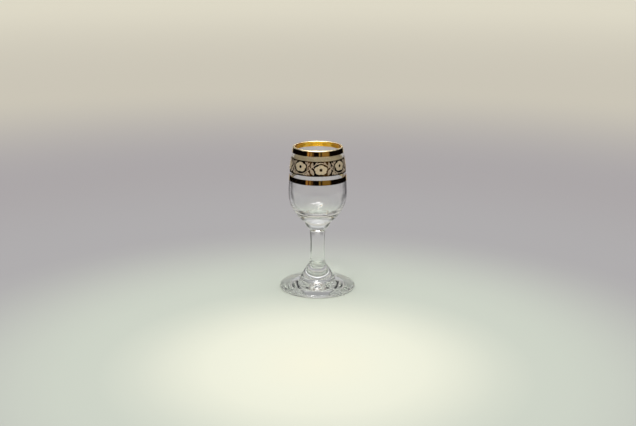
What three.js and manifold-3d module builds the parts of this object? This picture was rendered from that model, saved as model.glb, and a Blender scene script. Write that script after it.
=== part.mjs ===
// A small stemmed glass for spirits: a clear bowl, collar, stem and foot fused in a row, with a
// gilded mouth, two plain gold bands and a floral scroll in matt gold on a polished gold ground.
// Millimetres, +Z up. The origin is the centre of the circle on which the foot rests.

import * as THREE from 'three';
import { TessellateModifier } from 'three/addons/modifiers/TessellateModifier.js';
import { mergeVertices } from 'three/addons/utils/BufferGeometryUtils.js';
import Module from 'manifold-3d';

// Foot: a sloping disc with a cone on it, hollowed underneath so that it rests on a ring
const footRadius = 29.2;
const footHeight = 20.8;
const footNeckRadius = 6.1;
const footNeckPull = 1.5; // how far the cone's top curve keeps to the neck's width
const footConeTopRadius = 7.3; // where the cone runs out into the neck
const footConeTopHeight = 17.8;
const footBendRadius = 13.5; // where cone and disc would meet in a corner
const footBendHeight = 7.8;
const footBendRound = 1.5; // how far from that corner its rounding starts
const footEdgeThickness = 2.0;
const footEdgeRound = 0.9;
const footHollowRadius = 26.0;
const footHollowDepth = 3.3;
const footHollowSag = 1.1; // height that its curve bends towards, half way out

// Stem: slightly waisted, with a rounded top edge that leaves a groove under the collar
const stemLength = 25.2;
const stemFootRadius = 5.85;
const stemWaistRadius = 5.53;
const stemTopRadius = 6.05;
const stemNeckRadius = 5.3;
const stemTopRound = 0.9;

// Collar: the convex button of glass that carries the bowl
const collarHeight = 7.3;
const collarBottomRadius = 5.5;
const collarTopRadius = 10.5;
const collarBulgeRadius = 9.6;
const collarBulgeHeight = 3.2;

// Bowl: an oval below the belly, drawn in to the mouth above it
const bowlHeight = 58.7;
const bowlSeatRadius = 11.0;
const bellyRadius = 22.6;
const bellyRise = 24.1;
const mouthRadius = 18.9;
const mouthTaper = 1.5; // power of the curve from belly to mouth: 1 is a straight cone
const wall = 1.5;
const floorRise = 6.0; // inner floor above the seat
const floorRadius = 8.4; // the floor is a flat disc, which shows through the glass as a ring
const cavityPower = 4.0; // how squarely the inside turns in to the floor: 2 is a true ellipse

// Gold: fired films, drawn thick enough to be solids
const filmThickness = 0.15;
const filmGap = 0.06;
const lipBandHeight = 4.2;
const lipWrap = THREE.MathUtils.degToRad(135); // how far the gilding turns over the lip
const lipBandToScroll = 3.5;
const scrollHeight = 11.2;
const scrollToLowerBand = 2.9;
const lowerBandHeight = 3.8;

// Floral scroll: flowers stand low and high in turn, inside the bends of a waving vine
const flowerCount = 8;
const flowerTurn = THREE.MathUtils.degToRad(6.5); // the first low flower, from the front
const flowerWidth = 9.8;
const flowerHeight = 7.3;
const flowerRaise = 1.0;
const flowerDrop = 0.65;
const flowerHeartRadius = 1.15;
const petalCount = 5;
const petalNotch = 0.84; // radius at the notch between petals, as a share of the petal's reach
const petalFullness = 1.19; // radius of the petal's control points, as the same share
const petalSpread = 0.2; // how far these stand from the notches, as a share of the petal's angle
const vineWidth = 0.6;
const vineSwing = 4.3;
const vineBreak = 0.3; // gap between one spray's vine and the next
const stalkWidth = 0.55;
const stalkOffset = 2.25; // from the middle of the spray towards the high flower
const stalkMargin = 0.45; // between the stalk's ends and the edges of the band
const leafFullness = 0.45; // reach of a leaf's side control points, as a share of its length

// Leaves, measured along the band towards the low flower and up from the middle of the spray
const vineLeaves = [
  { from: 0.9, tip: [2.0, 4.9] }, // large, up beside the low flower
  { from: 0.2, tip: [3.0, -4.7] }, // large, down beside the low flower
  { from: 1.9, tip: [3.0, 0.2] }, // small, towards the low flower's side
  { from: -0.6, tip: [-0.8, 2.0] }, // small, up beside the stalk
  { from: 4.0, tip: [5.6, 5.1] }, // over the vine's crest
  { from: -4.0, tip: [-5.6, -5.1] }, // under the vine's trough
];
const stalkLeaves = [
  { from: 1.8, tip: [-0.4, 4.6] }, // up, away from the high flower
  { from: 3.2, tip: [-4.2, 5.0] }, // up, over the high flower's shoulder
  { from: -2.0, tip: [-0.4, -4.8] }, // down, away from the high flower
  { from: -3.2, tip: [-4.2, -5.0] }, // down, below the high flower
];

// Faceting
const roundSegments = 36;
const curveSteps = 5;
const longCurveSteps = 10;
const bandSteps = 2;
const groundSteps = 4;
const petalSteps = 4;
const leafSteps = 3;
const vineSteps = 8;
const sheetEdge = 2.8; // longest edge of a wrapped sheet, so that it follows the bowl

// Heights and radii that follow from the sizes above
const collarBaseZ = footHeight + stemLength;
const bowlBaseZ = collarBaseZ + collarHeight;
const rimZ = bowlBaseZ + bowlHeight;
const bellyZ = bowlBaseZ + bellyRise;
const floorZ = bowlBaseZ + floorRise;
const lipRadius = wall / 2;
const lipZ = rimZ - lipRadius;
const scrollTopZ = rimZ - lipBandHeight - lipBandToScroll;
const scrollMidZ = scrollTopZ - scrollHeight / 2;
const scrollBaseZ = scrollTopZ - scrollHeight;
const lowerBandTopZ = scrollBaseZ - scrollToLowerBand;
const scrollRadius = bowlRadius(scrollMidZ);
const flowerPitch = 2 * Math.PI / flowerCount;
const sprayLength = flowerPitch * scrollRadius;

const clearGlass = { color: 0xe4ece6, roughness: 0.04, metalness: 0, transparent: true, opacity: 0.4 };
const polishedGold = { color: 0xc79a4b, roughness: 0.12, metalness: 1 };
const mattGold = { color: 0xd8bf91, roughness: 0.6, metalness: 0.7 };

const wasm = await Module();
wasm.setup();

const stemGlass = new THREE.Group();

function addPiece(name, geometry, finish) {
  const mesh = new THREE.Mesh(geometry, new THREE.MeshStandardMaterial(finish));
  mesh.name = name;
  stemGlass.add(mesh);
}

// Turned pieces: profiles are (radius, height) points with the outer side upwards

function point(radius, height) {
  return new THREE.Vector2(radius, height);
}

function steps(from, to, count) {
  return Array.from({ length: count + 1 }, (_, i) => THREE.MathUtils.lerp(from, to, i / count));
}

function revolve(profile) {
  return new THREE.LatheGeometry(profile, roundSegments).rotateX(Math.PI / 2);
}

function makeFoot() {
  const restRadius = footRadius - footEdgeRound;
  const edgeTop = point(restRadius, footEdgeThickness);
  const bend = point(footBendRadius, footBendHeight);
  const coneTop = point(footConeTopRadius, footConeTopHeight);
  const belowBend = edgeTop.clone().sub(bend).setLength(footBendRound).add(bend);
  const aboveBend = coneTop.clone().sub(bend).setLength(footBendRound).add(bend);
  const profile = new THREE.Path();
  profile.moveTo(0, footHollowDepth);
  profile.quadraticCurveTo(footHollowRadius / 2, footHollowSag, footHollowRadius, 0);
  profile.lineTo(restRadius, 0);
  profile.quadraticCurveTo(footRadius, 0, footRadius, footEdgeThickness / 2);
  profile.quadraticCurveTo(footRadius, footEdgeThickness, edgeTop.x, edgeTop.y);
  profile.lineTo(belowBend.x, belowBend.y);
  profile.quadraticCurveTo(bend.x, bend.y, aboveBend.x, aboveBend.y);
  profile.lineTo(coneTop.x, coneTop.y);
  profile.quadraticCurveTo(footNeckRadius, footHeight - footNeckPull, footNeckRadius, footHeight);
  profile.lineTo(0, footHeight);
  return revolve(profile.getPoints(curveSteps));
}

function makeStem() {
  const shoulderZ = collarBaseZ - stemTopRound;
  const third = (shoulderZ - footHeight) / 3;
  const waistPull = (8 * stemWaistRadius - stemFootRadius - stemTopRadius) / 6;
  const profile = new THREE.Path();
  profile.moveTo(0, footHeight);
  profile.lineTo(stemFootRadius, footHeight);
  profile.bezierCurveTo(
    waistPull, footHeight + third,
    waistPull, shoulderZ - third,
    stemTopRadius, shoulderZ,
  );
  profile.quadraticCurveTo(stemTopRadius, collarBaseZ, stemNeckRadius, collarBaseZ);
  profile.lineTo(0, collarBaseZ);
  return revolve(profile.getPoints(curveSteps));
}

function makeCollar() {
  const bulgeZ = collarBaseZ + collarBulgeHeight;
  const profile = new THREE.Path();
  profile.moveTo(0, collarBaseZ);
  profile.lineTo(collarBottomRadius, collarBaseZ);
  profile.quadraticCurveTo(collarBulgeRadius, bulgeZ, collarTopRadius, bowlBaseZ);
  profile.lineTo(0, bowlBaseZ);
  return revolve(profile.getPoints(curveSteps));
}

// Outer radius of the bowl from the belly up
function bowlRadius(z) {
  const rise = Math.max(z - bellyZ, 0) / (rimZ - bellyZ);
  return bellyRadius - (bellyRadius - mouthRadius) * rise ** mouthTaper;
}

// Points at a distance outside the bowl's wall, or inside it where the distance is negative
function alongBowl(fromZ, toZ, count, distance) {
  return steps(fromZ, toZ, count).map((z) => point(bowlRadius(z) + distance, z));
}

function aroundLip(distance, from, to) {
  const centre = bowlRadius(lipZ) - lipRadius;
  const radius = lipRadius + distance;
  const angles = steps(from, to, curveSteps);
  return angles.map((a) => point(centre + radius * Math.cos(a), lipZ + radius * Math.sin(a)));
}

// The inside below the belly: an oval with a full corner, cut off by the flat floor
function aroundCavity() {
  const reach = bellyRadius - wall;
  const floorAngle = Math.acos((floorRadius / reach) ** (cavityPower / 2));
  const ovalDepth = (bellyZ - floorZ) / Math.sin(floorAngle);
  const profile = steps(0, floorAngle, longCurveSteps).map((a) => point(
    reach * Math.cos(a) ** (2 / cavityPower),
    bellyZ - ovalDepth * Math.sin(a),
  ));
  return [...profile, point(0, floorZ)];
}

function makeBowl() {
  const seatAngle = Math.acos(bowlSeatRadius / bellyRadius);
  const ovalDepth = bellyRise / Math.sin(seatAngle);
  const outside = new THREE.EllipseCurve(0, bellyZ, bellyRadius, ovalDepth, -seatAngle, 0);
  return revolve([
    point(0, bowlBaseZ),
    ...outside.getPoints(longCurveSteps),
    ...alongBowl(bellyZ, lipZ, curveSteps, 0).slice(1),
    ...aroundLip(0, 0, Math.PI).slice(1),
    ...alongBowl(lipZ, bellyZ, curveSteps, -wall).slice(1),
    ...aroundCavity().slice(1),
  ]);
}

// Films of gold on the outside of the bowl

function makeBand(topZ, height, count) {
  const outer = filmGap + filmThickness;
  const profile = alongBowl(topZ - height, topZ, count, outer);
  profile.push(...alongBowl(topZ, topZ - height, count, filmGap));
  profile.push(profile[0].clone());
  return revolve(profile);
}

function makeLipBand() {
  const baseZ = rimZ - lipBandHeight;
  const outer = filmGap + filmThickness;
  const profile = alongBowl(baseZ, lipZ, bandSteps, outer);
  profile.push(...aroundLip(outer, 0, lipWrap).slice(1));
  profile.push(...aroundLip(filmGap, lipWrap, 0));
  profile.push(...alongBowl(lipZ, baseZ, bandSteps, filmGap).slice(1));
  profile.push(profile[0].clone());
  return revolve(profile);
}

// Ornament: flat sheets, drawn along the band and up from its middle, then wrapped on the bowl

function sheet(shape, curveSegments = 1) {
  return new THREE.ExtrudeGeometry(shape, { depth: filmThickness, bevelEnabled: false, curveSegments });
}

function solidOf(geometry) {
  const bare = new THREE.BufferGeometry().setAttribute('position', geometry.getAttribute('position'));
  const merged = mergeVertices(bare);
  const vertProperties = merged.getAttribute('position').array;
  const triVerts = new Uint32Array(merged.index.array);
  return new wasm.Manifold(new wasm.Mesh({ numProp: 3, vertProperties, triVerts }));
}

function join(geometries) {
  const whole = geometries.map(solidOf).reduce((sum, piece) => sum.add(piece));
  const mesh = whole.getMesh();
  const geometry = new THREE.BufferGeometry();
  geometry.setAttribute('position', new THREE.BufferAttribute(mesh.vertProperties, 3));
  geometry.setIndex(new THREE.BufferAttribute(mesh.triVerts, 1));
  return geometry;
}

// The sheet lies on the ground band, turned round the axis from the front
function wrap(flat, turn) {
  const geometry = new TessellateModifier(sheetEdge).modify(flat);
  const ground = 2 * filmGap + filmThickness;
  const position = geometry.getAttribute('position');
  for (let i = 0; i < position.count; i += 1) {
    const angle = turn + position.getX(i) / scrollRadius;
    const z = scrollMidZ + position.getY(i);
    const radius = bowlRadius(z) + ground + position.getZ(i);
    position.setXYZ(i, radius * Math.sin(angle), -radius * Math.cos(angle), z);
  }
  geometry.computeVertexNormals();
  return geometry;
}

function makeFlower(lift) {
  const petalAngle = 2 * Math.PI / petalCount;
  const firstNotch = (Math.PI - petalAngle) / 2;
  const at = (reach, angle) => [
    reach * Math.cos(angle) * flowerWidth / 2,
    reach * Math.sin(angle) * flowerHeight / 2 + lift,
  ];
  const outline = new THREE.Shape();
  outline.moveTo(...at(petalNotch, firstNotch));
  for (let petal = 0; petal < petalCount; petal += 1) {
    const notch = firstNotch + petal * petalAngle;
    outline.bezierCurveTo(
      ...at(petalFullness, notch + petalSpread * petalAngle),
      ...at(petalFullness, notch + (1 - petalSpread) * petalAngle),
      ...at(petalNotch, notch + petalAngle),
    );
  }
  const heart = new THREE.Path().absarc(0, lift, flowerHeartRadius, 0, 2 * Math.PI);
  outline.holes.push(heart);
  return sheet(outline, petalSteps);
}

// Half a wave of the vine, from under the high flower to over the low one
function vineHeight(u) {
  return vineSwing * Math.sin(Math.PI * u / sprayLength);
}

function makeVine(side) {
  const end = (sprayLength - vineBreak) / 2;
  const edge = (offset) => steps(-end, end, vineSteps).map((u) => {
    const slope = vineSwing * Math.PI / sprayLength * Math.cos(Math.PI * u / sprayLength);
    const across = new THREE.Vector2(-slope, 1).setLength(offset);
    return new THREE.Vector2(side * (u + across.x), vineHeight(u) + across.y);
  });
  return sheet(new THREE.Shape([...edge(vineWidth / 2), ...edge(-vineWidth / 2).reverse()]));
}

function makeStalk(side) {
  const end = scrollHeight / 2 - stalkMargin;
  const left = side * -stalkOffset - stalkWidth / 2;
  const right = left + stalkWidth;
  const corners = [[left, -end], [right, -end], [right, end], [left, end]];
  return sheet(new THREE.Shape(corners.map(([u, v]) => new THREE.Vector2(u, v))));
}

function makeLeaf(rootU, rootV, [tipU, tipV], side) {
  const root = new THREE.Vector2(side * rootU, rootV);
  const tip = new THREE.Vector2(side * tipU, tipV);
  const middle = root.clone().add(tip).divideScalar(2);
  const along = tip.clone().sub(root).multiplyScalar(leafFullness);
  const outline = new THREE.Shape();
  outline.moveTo(root.x, root.y);
  outline.quadraticCurveTo(middle.x + along.y, middle.y - along.x, tip.x, tip.y);
  outline.quadraticCurveTo(middle.x - along.y, middle.y + along.x, root.x, root.y);
  return sheet(outline, leafSteps);
}

// Side is 1 where the low flower is to the right of the spray, and -1 where it is to the left
function makeSpray(side) {
  return join([
    makeVine(side),
    makeStalk(side),
    ...vineLeaves.map(({ from, tip }) => makeLeaf(from, vineHeight(from), tip, side)),
    ...stalkLeaves.map(({ from, tip }) => makeLeaf(-stalkOffset, from, tip, side)),
  ]);
}

addPiece('foot', makeFoot(), clearGlass);
addPiece('stem', makeStem(), clearGlass);
addPiece('collar', makeCollar(), clearGlass);
addPiece('bowl', makeBowl(), clearGlass);
addPiece('lip_band', makeLipBand(), polishedGold);
addPiece('scroll_ground', makeBand(scrollTopZ, scrollHeight, groundSteps), polishedGold);
addPiece('lower_band', makeBand(lowerBandTopZ, lowerBandHeight, bandSteps), polishedGold);

for (let i = 0; i < flowerCount; i += 1) {
  const low = i % 2 === 0;
  const turn = flowerTurn + i * flowerPitch;
  addPiece(`flower_${i + 1}`, wrap(makeFlower(low ? -flowerDrop : flowerRaise), turn), mattGold);
  addPiece(`spray_${i + 1}`, wrap(makeSpray(low ? -1 : 1), turn + flowerPitch / 2), mattGold);
}

export default stemGlass;
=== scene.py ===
import math

import bpy
from mathutils import Matrix, Vector


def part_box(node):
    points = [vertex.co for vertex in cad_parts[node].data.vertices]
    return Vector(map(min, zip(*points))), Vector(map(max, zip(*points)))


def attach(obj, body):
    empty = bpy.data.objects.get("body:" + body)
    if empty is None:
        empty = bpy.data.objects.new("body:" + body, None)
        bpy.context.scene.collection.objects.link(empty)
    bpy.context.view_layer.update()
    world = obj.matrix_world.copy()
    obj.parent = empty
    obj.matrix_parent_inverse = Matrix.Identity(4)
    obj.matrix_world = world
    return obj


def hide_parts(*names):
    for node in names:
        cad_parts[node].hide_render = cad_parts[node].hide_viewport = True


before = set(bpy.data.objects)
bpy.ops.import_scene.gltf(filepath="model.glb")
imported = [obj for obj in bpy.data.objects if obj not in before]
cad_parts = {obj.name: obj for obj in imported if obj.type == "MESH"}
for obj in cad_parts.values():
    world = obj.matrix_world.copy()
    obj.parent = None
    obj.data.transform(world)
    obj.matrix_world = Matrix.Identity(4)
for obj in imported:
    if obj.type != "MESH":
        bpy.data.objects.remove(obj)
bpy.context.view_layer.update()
print("frame loaded:", len(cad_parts), "solids")

mm = 0.001
tiny = 1e-7  # m, two points nearer than this are one
scene = bpy.context.scene
scene.view_settings.view_transform = "Standard"
scene.cycles.max_bounces = 32  # light passes many glass faces before it leaves the foot
scene.cycles.transmission_bounces = 32
scene.cycles.glossy_bounces = 24
scene.cycles.transparent_max_bounces = 32

# camera, at the height and distance from which the glass was taken
cameraLook = {
    "place": (0.0003, -0.785, 0.280),
    "pitchDown": 15.71,  # degrees
    "roll": 0.25,  # degrees
    "lens": 59.83,  # mm
    "sensor": 36.0,  # mm wide
    "near": 0.01,
    "far": 20,
}


def makeCamera(look):
    data = bpy.data.cameras.new("photoCamera")
    data.lens = look["lens"]
    data.sensor_width = look["sensor"]
    data.sensor_fit = "HORIZONTAL"
    data.clip_start = look["near"]
    data.clip_end = look["far"]
    camera = bpy.data.objects.new("photoCamera", data)
    tilt = Matrix.Rotation(math.radians(90 - look["pitchDown"]), 4, "X")
    roll = Matrix.Rotation(math.radians(look["roll"]), 4, "Z")
    camera.matrix_world = Matrix.Translation(look["place"]) @ tilt @ roll
    scene.collection.objects.link(camera)
    scene.camera = camera


makeCamera(cameraLook)
print("camera set")


# node helpers
def addNode(tree, kind, **values):
    node = tree.nodes.new(kind)
    for key, value in values.items():
        if hasattr(node, key):
            setattr(node, key, value)
        else:
            node.inputs[key].default_value = value
    return node


def addRange(tree, low, high, toLow=0.0, toHigh=1.0):
    limits = {"From Min": low, "From Max": high, "To Min": toLow, "To Max": toHigh}
    return addNode(tree, "ShaderNodeMapRange", **limits)


def addRamp(tree, stops, blend="LINEAR"):
    node = addNode(tree, "ShaderNodeValToRGB")
    ramp = node.color_ramp
    ramp.interpolation = blend
    for end in (0, -1):
        place, colour = stops[end]
        ramp.elements[end].position = place
        ramp.elements[end].color = (*colour, 1)
    for place, colour in stops[1:-1]:
        ramp.elements.new(place).color = (*colour, 1)
    return node


def newMaterial(name):
    material = bpy.data.materials.new(name)
    material.use_nodes = True
    tree = material.node_tree
    return material, tree, tree.nodes["Principled BSDF"]


def newGlow(name, strength=1.0):
    material = bpy.data.materials.new(name)
    material.use_nodes = True
    material.cycles.emission_sampling = "NONE"  # it is met by rays and never aimed at
    tree = material.node_tree
    tree.nodes.clear()
    glow = addNode(tree, "ShaderNodeEmission", Strength=strength)
    out = addNode(tree, "ShaderNodeOutputMaterial")
    tree.links.new(glow.outputs[0], out.inputs["Surface"])
    return material, tree, glow


# stage helpers
def putOnStage(name, points, faces, finish, onlyFor=None):
    mesh = bpy.data.meshes.new(name)
    mesh.from_pydata(points, [], faces)
    mesh.materials.append(finish)
    prop = bpy.data.objects.new(name, mesh)
    scene.collection.objects.link(prop)
    if onlyFor:
        prop.visible_camera = False
        prop.visible_diffuse = False
        prop.visible_shadow = False
        prop.visible_glossy = onlyFor == "reflections"
        prop.visible_transmission = onlyFor == "throughGlass"
    return mesh


def bentCard(turns, near, far, across, out, side=1):
    first, last = turns  # degrees from straight behind, or from the front where side is -1
    points, faces = [], []
    for i in range(across + 1):
        turn = math.radians(first + (last - first) * i / across)
        for k in range(out + 1):
            reach, height = (a + (b - a) * k / out for a, b in zip(near, far))
            points.append((reach * math.sin(turn), side * reach * math.cos(turn), height))
    for i in range(across):
        for k in range(out):
            corner = i * (out + 1) + k
            faces.append((corner, corner + 1, corner + out + 2, corner + out + 1))
    return points, faces


# table top, with a round pool of light painted pale into its colour and grayer shade painted round
# it
floorLook = {
    "size": 6.0,  # half width, m
    "drop": 0.0002,  # below the foot, so that the two faces don't fight
    "paintedPoolCentre": (0.0, -0.15, 0.0),
    "tones": [
        (0.00, (0.86, 0.85, 0.70)),
        (0.05, (0.82, 0.83, 0.70)),
        (0.15, (0.57, 0.61, 0.54)),
        (0.31, (0.40, 0.39, 0.40)),
        (0.57, (0.38, 0.36, 0.37)),
        (1.15, (0.55, 0.52, 0.445)),
        (2.95, (0.67, 0.64, 0.535)),
        (6.00, (0.53, 0.52, 0.48)),
    ],  # out from the centre of the painted pool of light, m
    "roughness": 0.5,
    "gloss": 0.0,
}


def makePaintedPoolFloor(look):
    material, tree, shader = newMaterial("paintedLightPoolFloor")
    link = tree.links.new
    place = addNode(tree, "ShaderNodeNewGeometry")
    away = addNode(tree, "ShaderNodeVectorMath", operation="DISTANCE")
    away.inputs[1].default_value = look["paintedPoolCentre"]
    farthest = look["tones"][-1][0]
    share = addRange(tree, 0.0, farthest)
    # painted light: the colour is pale in the pool and grayer round it, not lit so by a lamp
    tone = addRamp(tree, [(reach / farthest, tone) for reach, tone in look["tones"]], "EASE")
    link(place.outputs["Position"], away.inputs[0])
    link(away.outputs["Value"], share.inputs["Value"])
    link(share.outputs[0], tone.inputs[0])
    link(tone.outputs[0], shader.inputs["Base Color"])
    shader.inputs["Roughness"].default_value = look["roughness"]
    shader.inputs["Specular IOR Level"].default_value = look["gloss"]
    return material


def makeFloor(look):
    half, low = look["size"], -look["drop"]
    corners = [(-half, -half, low), (half, -half, low), (half, half, low), (-half, half, low)]
    putOnStage("tableTop", corners, [(0, 1, 2, 3)], makePaintedPoolFloor(look))


makeFloor(floorLook)

# surround seen only in reflections: a dark glowing card with glowing warm openings, which paints
# the dark and light stripes reflected in the gold
surroundLook = {
    "radius": 0.42,
    "height": 0.5,
    "steps": 96,
    "sweep": 150,  # degrees to each side of the front
    "fade": (0.02, 0.16, 0.5, 1.0),  # from and to height, and the share of the tones there
    # near black glow between the openings, a painted dark reflection in the gold
    "dark": (0.002, 0.001, 0.001),
    "soft": 2.5,  # degrees over which an opening's edge fades
    "lastSoft": 7.5,  # the same, after the last opening
    "openings": {
        "leftWarm": (-45, -39, (0.43, 0.26, 0.13)),
        "leftRed": (-36.5, -33, (0.10, 0.02, 0.004)),
        "leftGold": (-30.5, -29.5, (0.42, 0.31, 0.13)),
        "leftDim": (-26, -19, (0.11, 0.065, 0.04)),
        "rightSlit": (6.5, 7.5, (0.34, 0.26, 0.15)),
        "rightDim": (10.5, 12, (0.09, 0.06, 0.03)),
        "rightWarm": (19, 46, (0.25, 0.17, 0.08)),
    },  # from, to, in degrees from the front, and glow colour, a painted reflection
}


def surroundStops(look):
    sweep, soft, dark = look["sweep"], look["soft"], look["dark"]
    rows = [(-sweep, dark)]
    for first, last, tone in look["openings"].values():
        before = rows[-1][0]
        if first - before > 2 * soft:  # room for a dark stretch between the two openings
            rows += [(before + soft, dark), (first - soft, dark)]
        rows += [(first, tone), (last, tone)]
    rows += [(rows[-1][0] + look["lastSoft"], dark), (sweep, dark)]
    return [((turn + sweep) / (2 * sweep), tone) for turn, tone in rows]


def makeSurroundGlow(look):
    material, tree, glow = newGlow("darkCards")
    link = tree.links.new
    sweep = math.radians(look["sweep"])
    place = addNode(tree, "ShaderNodeNewGeometry")
    parts = addNode(tree, "ShaderNodeSeparateXYZ")
    front = addNode(tree, "ShaderNodeMath", operation="MULTIPLY")
    front.inputs[1].default_value = -1
    turn = addNode(tree, "ShaderNodeMath", operation="ARCTAN2")
    share = addRange(tree, -sweep, sweep)
    tone = addRamp(tree, surroundStops(look))
    fade = addRange(tree, *look["fade"])
    link(place.outputs["Position"], parts.inputs[0])
    link(parts.outputs["Y"], front.inputs[0])
    link(parts.outputs["X"], turn.inputs[0])
    link(front.outputs[0], turn.inputs[1])
    link(turn.outputs[0], share.inputs["Value"])
    link(share.outputs[0], tone.inputs[0])
    # painted reflection: this glow colour shows only in the gold and glass, as their stripes
    link(tone.outputs[0], glow.inputs["Color"])
    link(parts.outputs["Z"], fade.inputs["Value"])
    link(fade.outputs[0], glow.inputs["Strength"])
    return material


def makeSurround(look):
    turns = (-look["sweep"], look["sweep"])
    near, far = (look["radius"], 0.0), (look["radius"], look["height"])
    points, faces = bentCard(turns, near, far, look["steps"], 1, side=-1)
    putOnStage("darkCards", points, faces, makeSurroundGlow(look), onlyFor="reflections")


makeSurround(surroundLook)

# glowing round card overhead, seen only in reflections, which paints the highlight line on the lip
# and the highlight inside the bowl
topLook = {"height": 1.2, "radius": 0.35, "strength": 9.0, "steps": 48}


def makeTopCard(look):
    material, _, _ = newGlow("brightCard", look["strength"])
    points = []
    for i in range(look["steps"]):
        turn = 2 * math.pi * i / look["steps"]
        x, y = look["radius"] * math.cos(turn), look["radius"] * math.sin(turn)
        points.append((x, y, look["height"]))
    disc = [tuple(range(look["steps"]))]
    putOnStage("brightCard", points, disc, material, onlyFor="reflections")


makeTopCard(topLook)

# glowing card low behind the glass, seen only through the glass, which paints light into the
# collar
glowLook = {
    "turn": 26,  # degrees to each side of straight behind
    "reach": 0.92,
    "low": 0.24,
    "high": 0.42,
    "strength": 0.6,
    "steps": 24,
}


def makeBackGlow(look):
    material, _, _ = newGlow("paleCard", look["strength"])
    turns = (-look["turn"], look["turn"])
    near, far = (look["reach"], look["low"]), (look["reach"], look["high"])
    points, faces = bentCard(turns, near, far, look["steps"], 1)
    putOnStage("paleCard", points, faces, material, onlyFor="throughGlass")


makeBackGlow(glowLook)

# soft-edged dark cards round the glass, seen only through it, which paint dark shade into its rims
# and marks
cardLook = {
    "tone": (0.01, 0.01, 0.012),
    "roughness": 0.9,
    "gloss": 0.0,
    "across": 24,  # steps
    "out": 12,
    "cards": [
        ("behindLeft", (-38, -12), (0.17, 0.001), (0.47, 0.001), 0.3),
        ("behindRight", (12, 50), (0.17, 0.001), (0.47, 0.001), 0.3),
        ("besideLeft", (-72, -54), (0.06, 0.001), (0.30, 0.001), 0.1),
        ("besideRight", (42, 72), (0.06, 0.001), (0.30, 0.001), 0.1),
        ("farLeft", (-86, -33), (0.90, 0.20), (0.90, 0.68), 0.15),
        ("farRight", (33, 86), (0.90, 0.20), (0.90, 0.68), 0.15),
    ],  # name, turns from straight behind, (reach, height) of its two rims, soft share
}


def makeShadeCardFinish(look):
    material, tree, shader = newMaterial("throughGlassShadeCard")
    shader.inputs["Base Color"].default_value = (*look["tone"], 1)
    shader.inputs["Roughness"].default_value = look["roughness"]
    shader.inputs["Specular IOR Level"].default_value = look["gloss"]
    shade = addNode(tree, "ShaderNodeAttribute", attribute_name="shade")
    tree.links.new(shade.outputs["Fac"], shader.inputs["Alpha"])
    return material


def edgeShades(across, out, soft):
    shades = []
    for i in range(across + 1):
        for k in range(out + 1):
            inward = min(i / across, 1 - i / across, k / out, 1 - k / out)
            shades.append(min(inward / soft, 1))
    return shades


def makeCards(look):
    cloth = makeShadeCardFinish(look)
    steps = (look["across"], look["out"])
    for name, turns, near, far, soft in look["cards"]:
        points, faces = bentCard(turns, near, far, *steps)
        mesh = putOnStage(name, points, faces, cloth, onlyFor="throughGlass")
        shade = mesh.attributes.new("shade", "FLOAT", "POINT")
        shade.data.foreach_set("value", edgeShades(*steps, soft))


makeCards(cardLook)

# light: a soft lamp, and a dim room that is bright straight above
lightLook = {
    "lampFrom": (-0.08, -0.35, 1.0),  # towards the lamp
    "lampAngle": 16,  # degrees across
    "lampPower": 1.2,
    "lampColour": (1.0, 0.985, 0.95),
    "room": [
        (0.00, (0.62, 0.59, 0.52)),
        (0.14, (0.60, 0.58, 0.53)),
        (0.26, (0.32, 0.32, 0.32)),
        (0.82, (0.37, 0.37, 0.37)),
        (1.00, (2.50, 2.50, 2.50)),
    ],  # from the horizon to straight up
}


def makeLamp(look):
    data = bpy.data.lights.new("softLamp", "SUN")
    data.energy = look["lampPower"]
    data.color = look["lampColour"]
    data.angle = math.radians(look["lampAngle"])
    lamp = bpy.data.objects.new("softLamp", data)
    lamp.rotation_euler = (-Vector(look["lampFrom"])).to_track_quat("-Z", "Y").to_euler()
    scene.collection.objects.link(lamp)


def makeRoom(look):
    world = bpy.data.worlds.new("room")
    world.use_nodes = True
    scene.world = world
    tree = world.node_tree
    link = tree.links.new
    place = addNode(tree, "ShaderNodeTexCoord")
    parts = addNode(tree, "ShaderNodeSeparateXYZ")
    tone = addRamp(tree, look["room"])
    link(place.outputs["Generated"], parts.inputs[0])
    link(parts.outputs["Z"], tone.inputs[0])
    link(tone.outputs[0], tree.nodes["Background"].inputs["Color"])


makeLamp(lightLook)
makeRoom(lightLook)
print("stage and light set")

# finishes
toneSpread = (0.3, 0.7)  # shares of the noise at which a tone is fully dark and fully light
glassLook = {
    "light": (0.99, 0.993, 0.99),
    "dark": (0.975, 0.985, 0.978),
    "ior": 1.52,
    "wave": 0.012 * mm,  # height of the slow waves left in blown glass
    "waveCount": 70.0,  # to the metre
    "waveDetail": 1.0,
}
polishLook = {
    "mottleCount": 900,  # to the metre
    "golds": {
        "polishedGold": {"colour": (0.93, 0.70, 0.27), "roughness": 0.05, "mottle": 0.05},
        "groundGold": {"colour": (0.24, 0.17, 0.08), "roughness": 0.06, "mottle": 0.08},
        "lipBack": {"colour": (1.0, 0.58, 0.05), "roughness": 0.05, "mottle": 0.10},
        # paler gold over the lip, a painted highlight line; its roughness spreads the lamp's real
        # highlight
        "lipHighlightGold": {"colour": (1.0, 0.85, 0.55), "roughness": 0.38, "mottle": 0.06},
    },
}
mattLook = {
    "grainCount": 1800,  # to the metre
    "grainDetail": 4,
    "grainDepth": 0.05 * mm,
    "grainStrength": 0.25,
    "golds": {
        "groundBack": {
            "light": (0.95, 0.80, 0.54),
            "dark": (0.70, 0.58, 0.37),
            "metal": 0.2,
            "roughness": 0.6,
        },
        "mattGold": {
            "light": (0.92, 0.77, 0.55),
            "dark": (0.62, 0.51, 0.35),
            "metal": 0.4,
            "roughness": 0.45,
        },
        "leafGold": {
            "light": (0.70, 0.57, 0.43),
            "dark": (0.44, 0.35, 0.26),
            "metal": 0.5,
            "roughness": 0.45,
        },
    },
}


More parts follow.
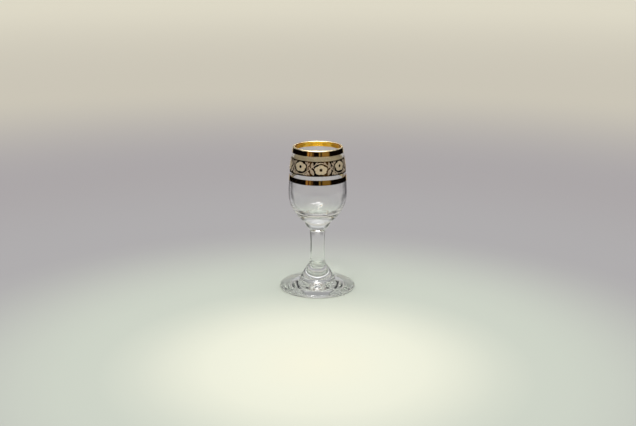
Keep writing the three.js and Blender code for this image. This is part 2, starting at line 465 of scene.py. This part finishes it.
def addNoise(tree, count, **values):
    place = addNode(tree, "ShaderNodeTexCoord")
    noise = addNode(tree, "ShaderNodeTexNoise", Scale=count, **values)
    tree.links.new(place.outputs["Object"], noise.inputs["Vector"])
    return noise.outputs["Fac"]


def addTone(tree, noise, look):
    tone = addRamp(tree, [(toneSpread[0], look["dark"]), (toneSpread[1], look["light"])])
    tree.links.new(noise, tone.inputs[0])
    return tone.outputs[0]


def addBump(tree, noise, **values):
    bump = addNode(tree, "ShaderNodeBump", **values)
    tree.links.new(noise, bump.inputs["Height"])
    return bump.outputs[0]


def makeClearGlass(look):
    material, tree, shader = newMaterial("clearGlass")
    wave = addNoise(tree, look["waveCount"], Detail=look["waveDetail"])
    tree.links.new(addTone(tree, wave, look), shader.inputs["Base Color"])
    tree.links.new(addBump(tree, wave, Distance=look["wave"]), shader.inputs["Normal"])
    shader.inputs["Roughness"].default_value = 0.0
    shader.inputs["IOR"].default_value = look["ior"]
    shader.inputs["Transmission Weight"].default_value = 1.0
    return material


def makeFusedJoint():
    material, _, shader = newMaterial("fusedJoint")
    shader.inputs["Alpha"].default_value = 0.0  # glass runs on through it, so nothing shows
    return material


def makePolishedGold(name, look):
    material, tree, shader = newMaterial(name)
    mottle = addNoise(tree, polishLook["mottleCount"])
    finest = look["roughness"]
    rough = addRange(tree, 0.0, 1.0, finest, finest + look["mottle"])
    tree.links.new(mottle, rough.inputs["Value"])
    tree.links.new(rough.outputs[0], shader.inputs["Roughness"])
    shader.inputs["Base Color"].default_value = (*look["colour"], 1)
    shader.inputs["Metallic"].default_value = 1.0
    return material


def makeMattGold(name, look):
    material, tree, shader = newMaterial(name)
    grain = addNoise(tree, mattLook["grainCount"], Detail=mattLook["grainDetail"])
    depth, strength = mattLook["grainDepth"], mattLook["grainStrength"]
    bump = addBump(tree, grain, Distance=depth, Strength=strength)
    tree.links.new(addTone(tree, grain, look), shader.inputs["Base Color"])
    tree.links.new(bump, shader.inputs["Normal"])
    shader.inputs["Metallic"].default_value = look["metal"]
    shader.inputs["Roughness"].default_value = look["roughness"]
    return material


clearGlass = makeClearGlass(glassLook)
fusedJoint = makeFusedJoint()
golds = {name: makePolishedGold(name, look) for name, look in polishLook["golds"].items()}
golds.update({name: makeMattGold(name, look) for name, look in mattLook["golds"].items()})


# pieces
def makePiece(name, points, faces, finishes, crease, slots=()):
    mesh = bpy.data.meshes.new(name)
    mesh.from_pydata(points, [], faces)
    for finish in finishes:
        mesh.materials.append(finish)
    if slots:
        mesh.polygons.foreach_set("material_index", slots)
    mesh.shade_smooth()
    mesh.set_sharp_from_angle(angle=math.radians(crease))
    mesh.update()
    piece = bpy.data.objects.new(name, mesh)
    scene.collection.objects.link(piece)
    return piece


def settle(piece, node):
    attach(piece, "root")
    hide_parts(node)


# turned pieces: profiles run from the axis below, up the outside and back
turnSteps = {
    "round": 256,  # round the axis, and the rest along the profiles
    "hollow": 40,
    "edge": 10,
    "bend": 24,
    "neck": 16,
    "waist": 60,
    "shoulder": 12,
    "bulge": 30,
    "cup": 60,
    "side": 40,
    "lip": 16,
    "cavity": 90,
}
turnCrease = 32  # degrees, a sharper edge stays an edge


def curve(points, count):
    rows = []
    for i in range(count + 1):
        level = [Vector(point) for point in points]
        while len(level) > 1:
            level = [a.lerp(b, i / count) for a, b in zip(level, level[1:])]
        rows.append(tuple(level[0]))
    return rows


def arc(centre, radii, start, end, count):
    rows = []
    for i in range(count + 1):
        turn = start + (end - start) * i / count
        rows.append((centre[0] + radii[0] * math.cos(turn), centre[1] + radii[1] * math.sin(turn)))
    return rows


def cavityArc(start, floor, fullness, count):
    reach, top = start
    flat, low = floor
    out, down = fullness
    endTurn = math.acos((flat / reach) ** (out / 2))
    depth = (top - low) / math.sin(endTurn) ** (2 / down)
    rows = []
    for i in range(count + 1):
        turn = endTurn * i / count
        radius = reach * math.cos(turn) ** (2 / out)
        rows.append((radius, top - depth * math.sin(turn) ** (2 / down)))
    return rows


def joinStretches(*stretches):
    rows = []
    for stretch in stretches:
        for place in stretch:
            if not rows or (Vector(place) - Vector(rows[-1])).length > tiny:
                rows.append(place)
    return rows


def revolve(name, profile, finishes, jointHeights=(), closed=False, slotStarts=()):
    points, faces, slots, rings = [], [], [], []
    count = turnSteps["round"]
    for radius, height in profile:
        if radius < tiny:
            rings.append([len(points)])
            points.append((0, 0, height))
            continue
        rings.append(list(range(len(points), len(points) + count)))
        for i in range(count):
            turn = 2 * math.pi * i / count
            points.append((radius * math.cos(turn), radius * math.sin(turn), height))
    pairs = list(zip(range(len(profile)), range(1, len(profile))))
    if closed:
        pairs.append((len(profile) - 1, 0))
    for a, b in pairs:
        low, high = rings[a], rings[b]
        level = abs(profile[a][1] - profile[b][1]) < tiny
        isJoint = level and any(abs(profile[a][1] - z) < tiny for z in jointHeights)
        slot = 1 if isJoint else sum(a >= start for start in slotStarts)
        for i in range(count):
            j = (i + 1) % count
            if len(low) == 1:
                faces.append((low[0], high[j], high[i]))
            elif len(high) == 1:
                faces.append((low[i], low[j], high[0]))
            else:
                faces.append((low[i], low[j], high[j], high[i]))
            slots.append(slot)
    return makePiece(name, points, faces, finishes, turnCrease, slots)


def turnGlass(name, node, profile, jointHeights):
    settle(revolve(name, profile, [clearGlass, fusedJoint], jointHeights), node)


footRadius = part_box("foot")[1].x
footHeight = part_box("foot")[1].z
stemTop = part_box("stem")[1].z
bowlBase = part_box("bowl")[0].z
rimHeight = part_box("bowl")[1].z
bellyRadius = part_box("bowl")[1].x

footShape = {
    "neck": 6.1 * mm,
    "neckPull": 1.5 * mm,
    "coneTop": (7.3 * mm, 17.8 * mm),
    "bend": (13.5 * mm, 7.8 * mm),
    "bendRound": 1.5 * mm,
    "edge": 2.0 * mm,
    "edgeRound": 0.9 * mm,
    "hollowRadius": 26.0 * mm,
    "hollowDepth": 3.3 * mm,
    "hollowSag": 1.1 * mm,
}


def makeFoot(shape):
    rest = footRadius - shape["edgeRound"]
    edge, neck = shape["edge"], shape["neck"]
    depth, sag, reach = shape["hollowDepth"], shape["hollowSag"], shape["hollowRadius"]
    bend, coneTop, rim = Vector(shape["bend"]), Vector(shape["coneTop"]), Vector((rest, edge))
    above = bend + (coneTop - bend).normalized() * shape["bendRound"]
    below = bend + (rim - bend).normalized() * shape["bendRound"]
    pull = (neck, footHeight - shape["neckPull"])
    profile = joinStretches(
        curve([(0, depth), (reach / 2, sag), (reach, 0)], turnSteps["hollow"]),
        [(rest, 0)],
        curve([(rest, 0), (footRadius, 0), (footRadius, edge / 2)], turnSteps["edge"]),
        curve([(footRadius, edge / 2), (footRadius, edge), (rest, edge)], turnSteps["edge"]),
        curve([tuple(below), tuple(bend), tuple(above)], turnSteps["bend"]),
        curve([tuple(coneTop), pull, (neck, footHeight)], turnSteps["neck"]),
        [(0, footHeight)],
    )
    turnGlass("footGlass", "foot", profile, [footHeight])


stemShape = {
    "foot": 5.85 * mm,
    "waist": 5.53 * mm,
    "top": 6.05 * mm,
    "neck": 5.3 * mm,
    "topRound": 0.9 * mm,
}


def makeStem(shape):
    low, top = shape["foot"], shape["top"]
    shoulder = stemTop - shape["topRound"]
    third = (shoulder - footHeight) / 3
    pull = (8 * shape["waist"] - low - top) / 6  # takes the curve's middle to the waist
    pulls = [(pull, footHeight + third), (pull, shoulder - third)]
    profile = joinStretches(
        [(0, footHeight), (low, footHeight)],
        curve([(low, footHeight), *pulls, (top, shoulder)], turnSteps["waist"]),
        curve([(top, shoulder), (top, stemTop), (shape["neck"], stemTop)], turnSteps["shoulder"]),
        [(0, stemTop)],
    )
    turnGlass("stemGlass", "stem", profile, [footHeight, stemTop])


collarShape = {
    "bottom": 5.5 * mm,
    "top": 10.5 * mm,
    "bulgeRadius": 9.6 * mm,
    "bulgeHeight": 3.2 * mm,
}


def makeCollar(shape):
    bottom = (shape["bottom"], stemTop)
    bulge = (shape["bulgeRadius"], stemTop + shape["bulgeHeight"])
    profile = joinStretches(
        [(0, stemTop), bottom],
        curve([bottom, bulge, (shape["top"], bowlBase)], turnSteps["bulge"]),
        [(0, bowlBase)],
    )
    turnGlass("collarGlass", "collar", profile, [stemTop, bowlBase])


bowlShape = {
    "seat": 11.0 * mm,
    "bellyRise": 24.1 * mm,
    "mouth": 18.9 * mm,
    "taper": 1.5,
    "wall": 1.5 * mm,
    "floorRise": 6.0 * mm,
    "floorFlat": 8.4 * mm,
    "fullness": (4.0, 2.0),  # out and down: 2 is a true oval, more is squarer
}
belly = bowlBase + bowlShape["bellyRise"]
lipHeight = rimHeight - bowlShape["wall"] / 2  # where the wall begins to turn over


def bowlRadius(z):
    rise = max(z - belly, 0) / (rimHeight - belly)
    return bellyRadius - (bellyRadius - bowlShape["mouth"]) * rise ** bowlShape["taper"]


def alongBowl(start, end, count, distance):
    rows = []
    for i in range(count + 1):
        z = start + (end - start) * i / count
        rows.append((bowlRadius(z) + distance, z))
    return rows


def aroundLip(distance, start, end, count):
    half = bowlShape["wall"] / 2
    centre = (bowlRadius(lipHeight) - half, lipHeight)
    return arc(centre, (half + distance, half + distance), start, end, count)


def makeBowl(shape):
    seatTurn = math.acos(shape["seat"] / bellyRadius)
    depth = shape["bellyRise"] / math.sin(seatTurn)
    wall = shape["wall"]
    inside = (bellyRadius - wall, belly)
    floor = (shape["floorFlat"], bowlBase + shape["floorRise"])
    profile = joinStretches(
        [(0, bowlBase)],
        arc((0, belly), (bellyRadius, depth), -seatTurn, 0, turnSteps["cup"]),
        alongBowl(belly, lipHeight, turnSteps["side"], 0),
        aroundLip(0, 0, math.pi, turnSteps["lip"]),
        alongBowl(lipHeight, belly, turnSteps["side"], -wall),
        cavityArc(inside, floor, shape["fullness"], turnSteps["cavity"]),
        [(0, floor[1])],
    )
    turnGlass("bowlGlass", "bowl", profile, [bowlBase])


makeFoot(footShape)
makeStem(stemShape)
makeCollar(collarShape)
makeBowl(bowlShape)
for name in ("stemGlass", "collarGlass", "bowlGlass"):
    bpy.data.objects[name].visible_shadow = False  # clear glass, so the lamp shines on through it
print("glass turned")

# gilding: thin films let into the glass face, so that they show from inside too
filmLook = {
    "sunk": 0.03 * mm,
    "stand": 0.12 * mm,
    "steps": 24,
    "lipWrap": 135,  # degrees over the lip
    "lipSteps": 20,
    "lipBright": 2,  # steps over the lip before the gold turns matt and paler, the paler colour a painted highlight
}


def makeBand(name, node, face, back):
    low, high = (corner.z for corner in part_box(node))
    steps = filmLook["steps"]
    profile = joinStretches(
        alongBowl(low, high, steps, filmLook["stand"]),
        alongBowl(high, low, steps, -filmLook["sunk"]),
    )
    band = revolve(name, profile, [face, back], closed=True, slotStarts=[steps + 1])
    settle(band, node)


def makeLipBand(name, node):
    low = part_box(node)[0].z
    wrap = math.radians(filmLook["lipWrap"])
    stand, sunk = filmLook["stand"], filmLook["sunk"]
    steps, lipSteps = filmLook["steps"], filmLook["lipSteps"]
    profile = joinStretches(
        alongBowl(low, lipHeight, steps, stand),
        aroundLip(stand, 0, wrap, lipSteps),
        aroundLip(-sunk, wrap, 0, lipSteps),
        alongBowl(lipHeight, low, steps, -sunk),
    )
    finishes = [golds["polishedGold"], golds["lipHighlightGold"], golds["lipBack"]]
    starts = [steps + filmLook["lipBright"], steps + lipSteps + 1]
    band = revolve(name, profile, finishes, closed=True, slotStarts=starts)
    settle(band, node)


makeLipBand("lipGilding", "lip_band")
makeBand("scrollGround", "scroll_ground", golds["groundGold"], golds["groundBack"])
makeBand("lowerGilding", "lower_band", golds["polishedGold"], golds["polishedGold"])
print("bands gilded")

# ornament: relief drawn flat, along the band and up from its middle, then laid round the bowl
scrollLow, scrollHigh = (corner.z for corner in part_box("scroll_ground"))
scrollMiddle = (scrollLow + scrollHigh) / 2
scrollRadius = bowlRadius(scrollMiddle)

reliefLook = {
    "sunk": 0.02 * mm,  # under the face of the ground
    "crease": 50,  # degrees, a sharper edge stays an edge
}
groundFace = filmLook["stand"] - reliefLook["sunk"]

flowerShape = {
    "count": 8,
    "turn": math.radians(6.5),
    "width": 9.8 * mm,
    "height": 7.3 * mm,
    "raise": 1.0 * mm,
    "drop": 0.65 * mm,
    "heart": 1.15 * mm,
    "heartWave": 0.1,  # share by which the heart's edge swings in and out
    "petals": 5,
    "notch": 0.84,  # reach between two petals, as a share of the full reach
    "petalEnd": 2.6,  # 2 is round, more is squarer
    "petalDome": 4,  # the same, across the petal
    "crown": (0.12, 0.88),  # shares of a half wave, from the heart to the petal's end
    "relief": 0.22 * mm,
    "edge": 0.35,  # share of the relief left at the edges
    "around": 120,  # steps
    "out": 10,
}
pitch = 2 * math.pi / flowerShape["count"]
sprayLength = pitch * scrollRadius

sprayShape = {
    "vineWidth": 0.6 * mm,
    "vineSwing": 4.3 * mm,
    "vineBreak": 0.3 * mm,
    "vineSteps": 40,
    "stalkWidth": 0.55 * mm,
    "stalkOffset": 2.25 * mm,
    "stalkMargin": 0.45 * mm,
    "stalkSteps": 10,
    "fullness": 0.45,
    "relief": 0.16 * mm,
    "vineLeaves": [
        (0.9, (2.0, 4.9)),
        (0.2, (3.0, -4.7)),
        (1.9, (3.0, 0.2)),
        (-0.6, (-0.8, 2.0)),
        (4.0, (5.6, 5.1)),
        (-4.0, (-5.6, -5.1)),
    ],  # place along the vine, and tip, mm
    "stalkLeaves": [
        (1.8, (-0.4, 4.6)),
        (3.2, (-4.2, 5.0)),
        (-2.0, (-0.4, -4.8)),
        (-3.2, (-4.2, -5.0)),
    ],  # height on the stalk, and tip, mm
}
stripShape = {"sideSteps": 3, "edge": 0.25}  # vines and stalks, with the relief left at the edge
leafShape = {
    "steps": 16,
    "sideSteps": 4,
    "blunt": 0.02,  # width left at root and tip
    "dome": 4,
    "edge": 0.2,
    "rib": 0.55,  # height in the groove of the rib
    "ribWidth": 1 / 3,
}


def layRelief(points, faces, grid, turn, ring=False):
    start = len(points)
    rows, columns = len(grid), len(grid[0])
    for lift in (1, 0):
        for row in grid:
            for u, v, h in row:
                angle = turn + u / scrollRadius
                z = scrollMiddle + v
                radius = bowlRadius(z) + groundFace + h * lift
                points.append((radius * math.sin(angle), -radius * math.cos(angle), z))

    def top(i, j):
        return start + i * columns + j % columns

    def low(i, j):
        return top(i, j) + rows * columns

    def wall(a, b):
        faces.append((top(*a), top(*b), low(*b), low(*a)))

    across = columns if ring else columns - 1
    lastRow, lastColumn = rows - 1, columns - 1
    for i in range(lastRow):
        for j in range(across):
            faces.append((top(i, j), top(i, j + 1), top(i + 1, j + 1), top(i + 1, j)))
            faces.append((low(i, j), low(i + 1, j), low(i + 1, j + 1), low(i, j + 1)))
    for j in range(across):
        wall((0, j + 1), (0, j))
        wall((lastRow, j), (lastRow, j + 1))
    if not ring:
        for i in range(lastRow):
            wall((i, 0), (i + 1, 0))
            wall((i + 1, lastColumn), (i, lastColumn))


def flowerGrid(shape, lift):
    around, out, petals = shape["around"], shape["out"], shape["petals"]
    notch, edge = shape["notch"], shape["edge"]
    crownStart, crownEnd = shape["crown"]
    first = (math.pi - 2 * math.pi / petals) / 2  # so that one petal points straight up
    grid = []
    for i in range(out + 1):
        t = i / out
        crown = math.sin(math.pi * (crownStart + (crownEnd - crownStart) * t))
        row = []
        for j in range(around):
            turn = first - 2 * math.pi * j / around
            away = Vector((math.cos(turn), math.sin(turn)))
            off = abs(2 * ((j * petals / around) % 1) - 1)  # 0 mid petal, 1 between two
            reach = notch + (1 - notch) * (1 - off ** shape["petalEnd"])
            outer = Vector((away.x * shape["width"], away.y * shape["height"])) * reach / 2
            inner = away * shape["heart"] * (1 + shape["heartWave"] * (1 - 2 * off))
            place = inner.lerp(outer, t)
            dome = 1 - off ** shape["petalDome"]
            height = shape["relief"] * (edge + (1 - edge) * dome * crown)
            row.append((place.x, place.y + lift, height))
        grid.append(row)
    return grid


def stripGrid(path, width, relief):
    half, edge = stripShape["sideSteps"], stripShape["edge"]
    grid = []
    for i, place in enumerate(path):
        ahead = path[min(i + 1, len(path) - 1)] - path[max(i - 1, 0)]
        side = Vector((-ahead.y, ahead.x)).normalized() * width / 2
        row = []
        for k in range(2 * half + 1):
            share = 1 - k / half
            spot = place + side * share
            row.append((spot.x, spot.y, relief * (edge + (1 - edge) * (1 - share * share))))
        grid.append(row)
    return grid


def leafGrid(root, tip, fullness, relief):
    steps, half, edge = leafShape["steps"], leafShape["sideSteps"], leafShape["edge"]
    groove = leafShape["rib"]
    length = tip - root
    side = Vector((-length.y, length.x)) * fullness / 2
    grid = []
    for i in range(steps + 1):
        t = i / steps
        swell = max(4 * t * (1 - t), leafShape["blunt"])
        row = []
        for k in range(2 * half + 1):
            share = 1 - k / half
            spot = root + length * t + side * share * swell
            rib = groove + (1 - groove) * min(abs(share) / leafShape["ribWidth"], 1)
            dome = 1 - share ** leafShape["dome"]
            row.append((spot.x, spot.y, relief * (edge + (1 - edge) * dome * rib)))
        grid.append(row)
    return grid


def sprayGrids(shape, side):
    vineEnd = (sprayLength - shape["vineBreak"]) / 2
    stalkEnd = (scrollHigh - scrollLow) / 2 - shape["stalkMargin"]
    vineSteps, stalkSteps = shape["vineSteps"], shape["stalkSteps"]
    relief = shape["relief"]

    def vineHeight(u):
        return shape["vineSwing"] * math.sin(math.pi * u / sprayLength)

    vine, stalk = [], []
    for i in range(vineSteps + 1):
        u = -vineEnd + 2 * vineEnd * i / vineSteps
        vine.append(Vector((side * u, vineHeight(u))))
    for i in range(stalkSteps + 1):
        v = -stalkEnd + 2 * stalkEnd * i / stalkSteps
        stalk.append(Vector((-side * shape["stalkOffset"], v)))
    if side < 0:
        vine.reverse()  # so that the strip's face stays outwards
    grids = [
        (stripGrid(vine, shape["vineWidth"], relief), False),
        (stripGrid(stalk, shape["stalkWidth"], relief), False),
    ]
    leaves = [((u * mm, vineHeight(u * mm)), tip) for u, tip in shape["vineLeaves"]]
    leaves += [((-shape["stalkOffset"], v * mm), tip) for v, tip in shape["stalkLeaves"]]
    for root, tip in leaves:
        start = Vector((side * root[0], root[1]))
        end = Vector((side * tip[0], tip[1])) * mm
        grids.append((leafGrid(start, end, shape["fullness"], relief), False))
    return grids


def makeReliefPiece(name, node, grids, turn, finish):
    points, faces = [], []
    for grid, ring in grids:
        layRelief(points, faces, grid, turn, ring)
    piece = makePiece(name, points, faces, [finish], reliefLook["crease"])
    settle(piece, node)


for i in range(flowerShape["count"]):
    low = i % 2 == 0
    turn = flowerShape["turn"] + i * pitch
    lift = -flowerShape["drop"] if low else flowerShape["raise"]
    grids = [(flowerGrid(flowerShape, lift), True)]
    makeReliefPiece(f"flowerGold_{i + 1}", f"flower_{i + 1}", grids, turn, golds["mattGold"])
    grids = sprayGrids(sprayShape, -1 if low else 1)
    halfWay = turn + pitch / 2
    makeReliefPiece(f"sprayGold_{i + 1}", f"spray_{i + 1}", grids, halfWay, golds["leafGold"])
print("ornament laid")
